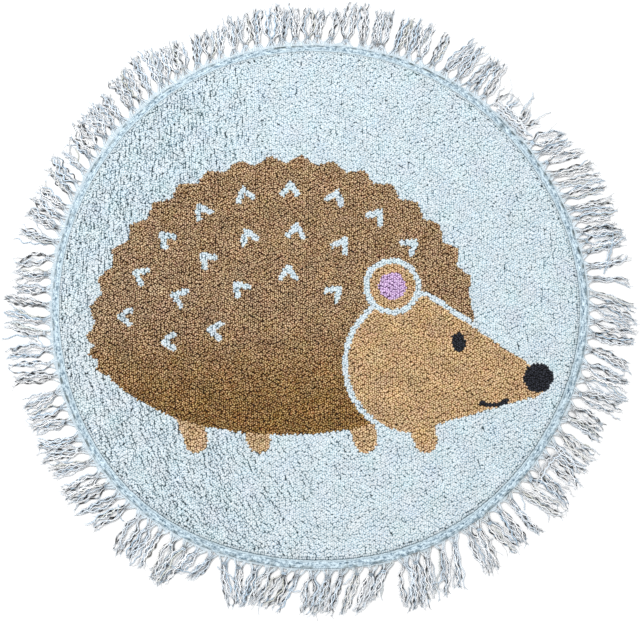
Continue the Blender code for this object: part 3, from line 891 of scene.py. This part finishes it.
# The tassels in bunches: angle of the first knot, how many, tip angle of the first and the last, reach
# past the rim in millimetres, and how full they are. Knots are spaced evenly up to the next bunch's first
bunches = (
    (1.3, 3, -1.8, 7.6, 84, 0.60), (9.8, 3, 11.0, 13.4, 86, 1.05),
    (17.2, 3, 16.0, 21.3, 87, 1.05), (25.6, 3, 23.3, 29.3, 86, 0.80),
    (34.0, 2, 32.2, 34.4, 74, 0.90), (39.5, 4, 39.2, 48.0, 50, 0.30),
    (51.0, 3, 52.0, 54.0, 87, 0.70), (58.0, 2, 57.0, 58.6, 92, 1.25),
    (64.5, 2, 64.3, 67.5, 85, 1.00), (70.0, 2, 70.3, 72.2, 85, 1.30),
    (75.8, 2, 76.2, 78.0, 86, 0.85), (80.0, 2, 81.0, 83.2, 90, 1.30),
    (87.5, 3, 85.5, 91.6, 73, 1.00), (94.8, 3, 94.3, 98.7, 83, 1.05),
    (103.0, 3, 101.5, 106.8, 78, 1.10), (111.3, 3, 109.3, 114.4, 65, 1.00),
    (119.7, 3, 118.3, 122.2, 74, 1.15), (126.0, 2, 124.0, 126.8, 87, 1.00),
    (131.2, 2, 129.6, 132.3, 82, 1.10), (137.0, 4, 135.8, 143.0, 75, 1.00),
    (148.0, 2, 146.3, 148.6, 64, 0.60), (154.0, 2, 151.1, 153.6, 76, 0.80),
    (160.0, 3, 157.4, 162.6, 74, 0.85), (167.5, 1, 166.5, 166.5, 80, 0.90),
    (171.0, 3, 173.4, 178.0, 73, 0.95), (181.5, 3, 179.8, 185.0, 85, 0.85),
    (191.0, 3, 189.8, 195.5, 88, 0.80), (200.0, 3, 200.6, 204.8, 75, 0.95),
    (210.5, 3, 208.0, 213.3, 77, 0.90), (219.5, 2, 218.1, 219.8, 83, 1.45),
    (225.3, 2, 222.4, 225.7, 82, 0.80), (231.3, 3, 232.0, 236.9, 85, 0.85),
    (239.5, 2, 239.8, 241.3, 88, 1.10), (245.5, 2, 243.4, 246.0, 55, 0.80),
    (250.5, 3, 254.4, 256.6, 79, 0.80), (260.5, 3, 258.4, 262.6, 74, 0.75),
    (269.3, 2, 268.0, 269.5, 80, 1.00), (275.3, 3, 272.0, 277.0, 79, 0.80),
    (284.7, 1, 279.8, 279.8, 62, 0.90), (288.0, 2, 286.0, 288.4, 92, 1.35),
    (293.0, 3, 290.6, 296.2, 86, 0.90), (302.5, 2, 301.6, 303.0, 92, 1.10),
    (307.0, 2, 308.0, 309.5, 88, 1.00), (313.3, 1, 313.0, 313.0, 92, 0.90),
    (316.0, 2, 317.9, 319.6, 95, 0.85), (322.0, 4, 321.0, 328.9, 87, 1.10),
    (333.8, 2, 333.3, 335.4, 76, 0.90), (339.5, 2, 339.4, 341.8, 96, 1.45),
    (346.0, 2, 344.5, 347.0, 90, 1.20), (352.5, 3, 351.8, 355.6, 88, 0.90),
)


# One row for each tassel: knot angle, tip angle, reach, fullness, and its number in the order round the rim
def tasselTable():
    rows = []
    for (knot, count, firstTip, lastTip, reach, full), following in zip(bunches, bunches[1:] + bunches[:1]):
        room = (following[0] - knot) % 360.0
        for step in range(count):
            tip = firstTip + (lastTip - firstTip) * step / max(count - 1, 1)
            rows.append((knot + room * step / count, tip, reach / 1000.0, full, len(rows)))
    return np.array(rows)


# A tassel's middle line in plan, out metres past the rim: its angle goes from the knot's to the tip's as
# the share of its reach to the power 1.2, with a sine of sway
def tasselLine(tassels, out):
    knot, tip, reach, _, order = (tassels[:, k, None] for k in range(5))
    share = np.clip(out / reach, 0.0, None)
    swing = fringe["sway"] * np.sin(np.radians(fringe["swayTurn"] * order))
    swing = swing * np.sin(math.pi * np.clip(share, 0.0, 1.0))
    angle = np.radians(knot + (tip - knot) * share ** 1.2) + swing / (rim["radius"] + out)
    return placed(rim["radius"] + out, angle, 0.0)


# Arrows a quarter turn to the left of flat ones
def leftOf(arrows):
    return np.stack([-arrows[..., 1], arrows[..., 0], np.zeros(arrows.shape[:-1])], axis=-1)


# The middle line with its sideways arrow, from points half a millimetre behind and ahead
def tasselFrame(tassels, out):
    ahead = tasselLine(tassels, out + 0.0005) - tasselLine(tassels, out - 0.0005)
    return tasselLine(tassels, out), leftOf(unitLong(ahead))


# Half the width of a tassel: wide under the tape, drawn in at the knot, full in the body, loose at the tip
def tasselHalf(out, reach):
    root, waist, body, tip = (fringe[key] for key in ("rootHalf", "waistHalf", "bodyHalf", "tipHalf"))
    knotOut = fringe["knotOut"]
    half = root + (waist - root) * smoothRise(out, 0.0, knotOut)
    half = half + (body - waist) * smoothRise(out, knotOut + 0.001, knotOut + 0.20 * reach)
    return half + (tip - body) * smoothRise(out, 0.6 * reach, reach)


# Every yarn of every tassel: its place across the bundle times the half width, plus waves as sines along it,
# in a lower layer painted in shade and an upper layer painted bright, both passing through the knot. At the
# root they stand apart in a V, some tassels bow open in the middle, and some yarns stray out of their tassel
def makeYarns(tassels, draw, material):
    f = fringe
    yarns, knotOut, yarnRadius = f["yarns"], f["knotOut"], f["yarnRadius"]
    fullness = tassels[:, 3] * draw.uniform(0.88, 1.15, len(tassels))
    depth = draw.uniform(*f["lowerTones"], len(tassels))
    owner, number = np.divmod(np.arange(len(tassels) * yarns), yarns)
    kept = draw.uniform(size=len(owner)) < 0.12 + 0.84 * fullness[owner]
    owner, number = owner[kept], number[kept]
    column = (len(owner), 1)
    table = tassels[owner]
    reach = table[:, 2:3] * draw.uniform(*f["yarnLengths"], column)
    share = np.linspace(0.0, 1.0, f["sections"])[None, :]
    out = -f["hidden"] + (reach + f["hidden"]) * share
    middle, sideways = tasselFrame(table, out)
    upper = (number % 2 == 0).astype(float)[:, None]
    across = (2.0 * (number + 0.5) / yarns - 1.0)[:, None] + draw.normal(0.0, 0.08, column)
    crimp = draw.uniform(*f["crimp"], column)
    phase = draw.uniform(0.0, math.tau, (7, *column))

    # A sine along each yarn
    def waving(wavelength, which):
        return np.sin(math.tau * out / wavelength + phase[which])

    loose = smoothRise(out, knotOut + 0.002, knotOut + 0.016)
    atRoot = 1.0 - smoothRise(out, 0.0, knotOut)
    knotNear = bell(out, knotOut, 0.006)
    slowLength, slowHeight = f["slowWave"]
    strayShare, strayReach = f["strays"]
    messyAt, messySpread, messyExtra = f["messy"]
    messy = 1.0 + messyExtra * bell(table[:, 0:1], messyAt, messySpread)
    parted = across + (np.sign(across) * np.abs(across) ** 0.45 - across) * atRoot
    aside = parted * (1.0 + (fullness[owner, None] - 1.0) * loose) * tasselHalf(out, reach)
    aside = aside + loose * messy * (0.0010 + 0.0008 * share) * waving(crimp, 0)
    aside = aside + loose * messy * slowHeight * share * waving(slowLength, 1)
    strays = draw.uniform(size=column) > 1.0 - strayShare * messy
    aside = aside + loose * (draw.normal(0.0, strayReach, column) * strays) * share ** 1.5
    opening = np.random.default_rng(f["seed"] + 1).uniform(*f["opening"], len(tassels)).clip(0.0)
    aside = aside + loose * opening[owner, None] * np.sign(across) * np.sin(math.pi * share)
    knotHeight, knotSwing = f["knotHeight"]
    rippleLength, rippleHeight = f["ripple"]
    lying = yarnRadius * 1.05 + upper * f["layerRise"] * (1.0 - 0.5 * smoothRise(out, 0.6 * reach, reach))
    lying = lying + rippleHeight * loose * (1.0 + waving(rippleLength, 3))
    high = lying * (1.0 - atRoot) + (f["rootHeight"] + 0.0006 * (upper - 0.5)) * atRoot
    high = high * (1.0 - knotNear) + knotNear * (knotHeight + knotSwing * np.sin(phase[4]))
    thick = yarnRadius * (1.0 - 0.12 * atRoot - 0.22 * knotNear - 0.45 * smoothRise(out, 0.82 * reach, reach))
    thick = thick * draw.uniform(*f["yarnThickness"], column)
    paths = middle + sideways * aside[..., None]
    paths[..., 2] = np.maximum(high, thick * 1.02)

    firstStain, lastStain = f["stained"]
    inStains = (tassels[:, 0] > firstStain) & (tassels[:, 0] < lastStain)
    stain = (draw.uniform(0.0, 1.0, len(tassels)) * inStains)[owner, None]
    stain = stain * (1.0 - smoothRise(out, 0.002, 0.012))
    root = 0.85 * (1.0 - smoothRise(out, 0.005, 0.015)) * (1.0 - 0.5 * stain)
    # The lower yarns show dark in the gaps, in dashes where the upper ones let no light down
    lit = smoothRise(waving(draw.uniform(*f["dashes"], column), 5), 0.0, 0.7)
    tone = upper * draw.normal(*f["upperTone"], column) + (1.0 - upper) * (depth[owner, None] + 0.90 * lit)
    tone = np.where(strays, 1.04, tone)
    # Painted shade on some yarns round the knot, and on the lower yarns just past it
    afterKnot = smoothRise(out, knotOut - 0.004, knotOut) * (1.0 - smoothRise(out, 0.022, 0.036))
    tone = tone * (1.0 - 0.60 * knotNear * smoothRise(np.sin(phase[6]), -0.2, 0.6))
    tone = tone * (1.0 - 0.35 * afterKnot * (1.0 - upper))
    tone = (tone * (1.0 - root) + root) * (1.0 - 0.12 * stain)
    # The lower yarns' painted shade is also tinted a cooler blue
    tint = np.clip(draw.normal(*f["tint"], column) + 0.4 * (1.0 - upper), 0.0, 1.0)
    warm = draw.uniform(*f["warm"], column) * (draw.uniform(size=column) > 1.0 - f["warmShare"])
    values = {"tone": tone, "root": root, "tint": tint, "warm": np.maximum(warm, 0.7 * stain)}
    half = len(owner) // 2
    pieces = []
    for name, rows in (("first_half", slice(0, half)), ("second_half", slice(half, None))):
        own = {key: value[rows] for key, value in values.items()}
        pieces.append(strandPiece(
            "fringe_yarns_" + name, paths[rows], thick[rows], f["sides"], material, own
        ))
    return pieces, paths


knots = {
    "windings": 2.1,
    "length": 0.0052,  # of the winding along the tassel
    "halfWidth": 0.0038,
    "halfHeight": 0.0014,
    "middle": 0.0031,  # its height over the floor
    "cordRadius": 0.00110,
}


# Each knot is a cord wound twice round its bundle: a helix squashed to lie flat, drawn in at both ends
def makeKnots(tassels, draw, material):
    column, k = (len(tassels), 1), knots
    share = np.linspace(0.0, 1.0, 26)[None, :]
    turn = math.tau * k["windings"] * share + draw.uniform(0.0, math.tau, column)
    size = draw.uniform(0.88, 1.12, column) * (0.55 + 0.45 * np.clip(3.0 * np.sin(math.pi * share), 0.0, 1.0))
    out = fringe["knotOut"] + k["length"] * (share - 0.5) * draw.uniform(0.8, 1.2, column)
    out = out + draw.normal(0.0, 0.0020, column)
    middle, sideways = tasselFrame(tassels, out)
    paths = middle + sideways * (k["halfWidth"] * size * np.cos(turn))[..., None]
    paths[..., 2] = k["middle"] + k["halfHeight"] * size * np.sin(turn)
    values = {"tone": draw.normal(0.80, 0.14, column), "tint": draw.uniform(0.2, 0.9, column)}
    return strandPiece("fringe_knots", paths, k["cordRadius"], 5, material, values)


fray = {
    "each": 2,  # threads at each tip
    "length": (0.004, 0.010),
    "bow": 0.45,  # how far they fan out, in shares of their length
    "radii": (0.00052, 0.00026),
}


# Frayed ends: fine threads run on from each yarn's tip and bow aside by the share of their length to the
# power 1.6, sinking to the floor
def makeFray(paths, draw, material):
    sections = 4
    tip = np.repeat(paths[:, -2], fray["each"], axis=0)
    ahead = np.repeat(paths[:, -1] - paths[:, -4], fray["each"], axis=0)
    ahead[:, 2] = 0.0
    ahead = unitLong(ahead)
    column = (len(tip), 1)
    share = np.linspace(0.0, 1.0, sections)[None, :, None]
    length = draw.uniform(*fray["length"], (*column, 1))
    bow = draw.normal(0.0, fray["bow"], (*column, 1))
    lines = tip[:, None] + ahead[:, None] * length * share
    lines = lines + leftOf(ahead)[:, None] * length * bow * share ** 1.6
    lines[..., 2] = np.maximum(lines[..., 2] * (1.0 - 0.6 * share[..., 0]), 0.0005)
    radii = np.linspace(*fray["radii"], sections)
    values = {"tone": draw.normal(1.0, 0.10, column), "tint": draw.uniform(0.0, 1.0, column)}
    return strandPiece("fringe_frayed_ends", lines, radii, 3, material, values, shelves=20)


looseThreads = {
    "each": 4,  # at each tassel
    "start": (0.25, 0.75),  # in shares of its reach
    "length": (0.016, 0.040),
    "radii": (0.00045, 0.00028),
}


# Loose single threads start inside the tassels and drift aside by the share of their length to the power
# 1.5, with a small sine, while they sink to the floor
def makeLooseThreads(tassels, draw, material):
    sections = 9
    table = np.repeat(tassels, looseThreads["each"], axis=0)
    column = (len(table), 1)
    share = np.linspace(0.0, 1.0, sections)[None, :]
    start = draw.uniform(*looseThreads["start"], column) * table[:, 2:3]
    length = draw.uniform(*looseThreads["length"], column)
    out = np.minimum(start + length * share, table[:, 2:3] + 0.010)
    middle, sideways = tasselFrame(table, out)
    offset = draw.normal(0.0, 0.0035, column) + draw.normal(0.0, 0.0065, column) * share ** 1.5
    offset = offset + 0.0012 * np.sin(math.tau * share * draw.uniform(0.8, 2.0, column))
    paths = middle + sideways * offset[..., None]
    paths[..., 2] = 0.0008 + 0.0034 * (1.0 - share) * draw.uniform(0.3, 1.0, column)
    radii = np.linspace(*looseThreads["radii"], sections)
    values = {"tone": draw.uniform(0.55, 1.0, column), "tint": draw.uniform(0.0, 1.0, column)}
    return strandPiece("fringe_loose_threads", paths, radii, 3, material, values, shelves=10)


# Strands lying across their neighbours: angle and millimetres out at each end, how far the strand bows
# aside, and its radius
crossings = (
    (12.9, 71, 5.1, 35, 4, 1.10), (12.2, 66, 6.0, 30, 6, 0.85), (11.0, 60, 5.6, 42, -3, 0.70),
    (37.0, 10, 47.8, 18, 5, 1.80), (37.6, 22, 47.0, 9, 4, 1.70), (38.5, 14, 46.4, 26, -6, 1.80),
    (39.6, 27, 47.2, 14, 5, 1.60), (38.4, 18, 43.8, 22, -4, 1.70), (41.0, 8, 45.8, 22, -5, 1.60),
    (42.6, 20, 48.2, 26, 4, 1.50), (41.0, 6, 44.5, 30, -4, 0.90), (44.2, 84, 43.0, 40, 4, 0.85),
    (43.4, 78, 42.8, 36, -3, 0.70), (39.2, 82, 39.6, 36, -3, 0.85), (47.6, 50, 42.6, 44, 6, 0.60),
    (50.0, 77, 46.4, 42, 4, 0.45), (72.9, 41, 69.4, 50, 2, 0.85), (138.0, 24, 142.0, 60, 4, 0.50),
    (144.5, 30, 139.5, 52, -5, 0.50), (150.8, 33, 146.3, 70, 3, 0.85), (151.0, 58, 155.5, 30, 3, 0.50),
    (154.5, 60, 150.5, 28, -4, 0.50), (160.5, 55, 163.5, 26, 3, 0.50), (167.4, 18, 163.3, 66, 5, 0.85),
    (188.7, 30, 184.6, 74, 4, 0.95), (190.6, 14, 187.5, 30, 2, 0.85), (186.5, 22, 190.5, 56, -4, 0.55),
    (202.0, 55, 200.0, 17, 2, 0.85), (226.5, 18, 229.5, 34, -5, 0.85), (256.0, 65, 249.8, 25, -9, 1.10),
    (248.4, 6, 245.7, 50, 3, 0.95), (245.7, 50, 241.0, 52, 3, 0.85), (267.5, 40, 264.2, 40, 2, 0.85),
    (263.0, 14, 259.9, 65, 4, 0.85), (277.5, 12, 275.0, 30, 2, 0.85), (281.0, 18, 276.3, 78, 5, 0.95),
    (284.3, 20, 278.5, 73, -5, 0.95), (294.5, 64, 290.3, 60, 2, 0.85), (305.8, 44, 302.6, 25, 3, 0.85),
    (315.5, 17, 314.0, 43, 2, 0.85), (328.2, 30, 319.2, 28, -11, 1.70), (327.6, 34, 319.8, 32, -8, 1.50),
    (334.0, 16, 336.0, 44, -4, 0.85),
)


# Each crossing strand goes straight between its ends, with a half sine of bow and a small crimp
def makeCrossings(draw, material):
    rows = np.array(crossings) / (1.0, 1000.0, 1.0, 1000.0, 1000.0, 1000.0)
    startTurn, startOut, endTurn, endOut, bow, radius = (rows[:, k, None] for k in range(6))
    column = startTurn.shape
    share = np.linspace(0.0, 1.0, 24)[None, :]
    start = placed(rim["radius"] + startOut, np.radians(startTurn), 0.0)
    ahead = placed(rim["radius"] + endOut, np.radians(endTurn), 0.0) - start
    span = np.linalg.norm(ahead, axis=2)
    bow = bow * np.sin(math.pi * share)
    crimp = 0.0003 + 0.7 * radius
    bow = bow + crimp * np.sin(math.tau * share * span / 0.014 + draw.uniform(0.0, 6.28, column))
    paths = start + ahead * share[..., None] + leftOf(ahead) / span[..., None] * bow[..., None]
    paths[..., 2] = radius * 1.05 + 0.0032 * np.sin(math.pi * share) ** 0.7
    values = {"tone": draw.uniform(0.70, 1.15, column), "tint": draw.uniform(0.1, 1.0, column)}
    return strandPiece("fringe_crossing_strands", paths, radius, 5, material, values)


heading = {
    "around": 720,
    "across": 10,
    "outward": (0.0036, 0.0020),  # how far it shows past the rim, and how much that varies
    "inward": 0.0120,
    "middle": 0.00305,
    "halfThickness": 0.0007,
}


# The woven heading that the tassels grow from, a flat ring that shows a little past the tape: a
# superellipse carried round the rim, its outer edge pulled in and out by slow waves
def makeHeading(material):
    around, across = heading["around"], heading["across"]
    mean, swing = heading["outward"]
    angle, turn = fullTurn(around)[:, None], fullTurn(across)[None, :]
    sideways = np.sign(np.cos(turn)) * np.abs(np.cos(turn)) ** 0.5
    upright = np.sign(np.sin(turn)) * np.abs(np.sin(turn)) ** 0.7
    outer = mean + swing * np.clip(rimDrift(angle, 0.022, 41), -1.5, 1.5)
    radius = rim["radius"] + np.where(sideways > 0.0, outer * sideways, heading["inward"] * sideways)
    points = placed(radius, angle, heading["middle"] + heading["halfThickness"] * upright).reshape(-1, 3)
    faces = turnedFaces(around, across)[:, ::-1]
    return newPiece("fringe_heading", points, [faces], material, {}, {})


print("backing")
backingPiece = makeBacking()
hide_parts("tufted_field")

print("pile")
pilePieces = makePile()

print("tape")
tapePiece = makeTape()
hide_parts("edge_tape")
tapeStitches = makeTapeStitches()

print("fringe")
tassels = tasselTable()
fringeDraw = np.random.default_rng(fringe["seed"])
yarn = plyMaterial("pliedCottonYarn", "#ffffff", "#c6def1", "#3b4a60", "#e6f2fa", fringe["plyPitch"], 0.60)
yarnPieces, yarnPaths = makeYarns(tassels, fringeDraw, yarn)
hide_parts("fringe")
fringePieces = [
    *yarnPieces,
    makeKnots(tassels, fringeDraw, yarn),
    makeFray(yarnPaths, fringeDraw, yarn),
    makeLooseThreads(tassels, fringeDraw, yarn),
    makeCrossings(fringeDraw, yarn),
    makeHeading(canvasMaterial("wovenCottonHeading", "#a9bcc7", "#f4fafd")),
]

studio = {
    "floorSize": 40.0,
    "floorHeight": -0.0004,
    "floorColour": "#f8f8f8",
    "worldStrength": 0.88,
    "keyPlace": (-1.5, 1.5, 3.4),
    "keySize": 1.0,
    "keyWatts": 78.0,
    "cameraAim": (0.0051, -0.0401, 0.0),
    "cameraTilt": 10.0,  # degrees off straight down
    "cameraDistance": 2.4,
    "cameraLens": 72.4,
}


# A plain pale floor, one soft lamp aimed at the rug's middle, even light from all round, and the camera
def makeStudio():
    scene = bpy.context.scene
    half, low = studio["floorSize"] / 2.0, studio["floorHeight"]
    mesh = bpy.data.meshes.new("floor")
    corners = [(-half, -half, low), (half, -half, low), (half, half, low), (-half, half, low)]
    mesh.from_pydata(corners, [], [(0, 1, 2, 3)])
    paint = {"Base Color": linear(studio["floorColour"]), "Roughness": 0.8, "Specular IOR Level": 0.1}
    mesh.materials.append(newMaterial("paintedFloor", paint)[0])
    floor = bpy.data.objects.new("floor", mesh)
    scene.collection.objects.link(floor)

    world = bpy.data.worlds.new("studioWorld")
    world.use_nodes = True
    background = next(node for node in world.node_tree.nodes if node.type == "BACKGROUND")
    fillInputs(background, {"Color": (1.0, 1.0, 1.0, 1.0), "Strength": studio["worldStrength"]})
    scene.world = world

    lamp = bpy.data.lights.new("softKey", "AREA")
    lamp.shape = "DISK"
    lamp.size = studio["keySize"]
    lamp.energy = studio["keyWatts"]
    key = bpy.data.objects.new("softKey", lamp)
    key.location = studio["keyPlace"]
    keyX, keyY, keyZ = studio["keyPlace"]
    key.rotation_euler = (math.atan2(math.hypot(keyX, keyY), keyZ), 0.0, math.atan2(keyX, -keyY))
    scene.collection.objects.link(key)

    tilt, distance = math.radians(studio["cameraTilt"]), studio["cameraDistance"]
    lens = bpy.data.cameras.new("camera")
    lens.lens = studio["cameraLens"]
    camera = bpy.data.objects.new("camera", lens)
    aimX, aimY, aimZ = studio["cameraAim"]
    camera.location = (aimX, aimY - distance * math.sin(tilt), aimZ + distance * math.cos(tilt))
    camera.rotation_euler = (tilt, 0.0, 0.0)
    scene.collection.objects.link(camera)
    scene.camera = camera
    scene.view_settings.view_transform = "Standard"


print("studio")
makeStudio()
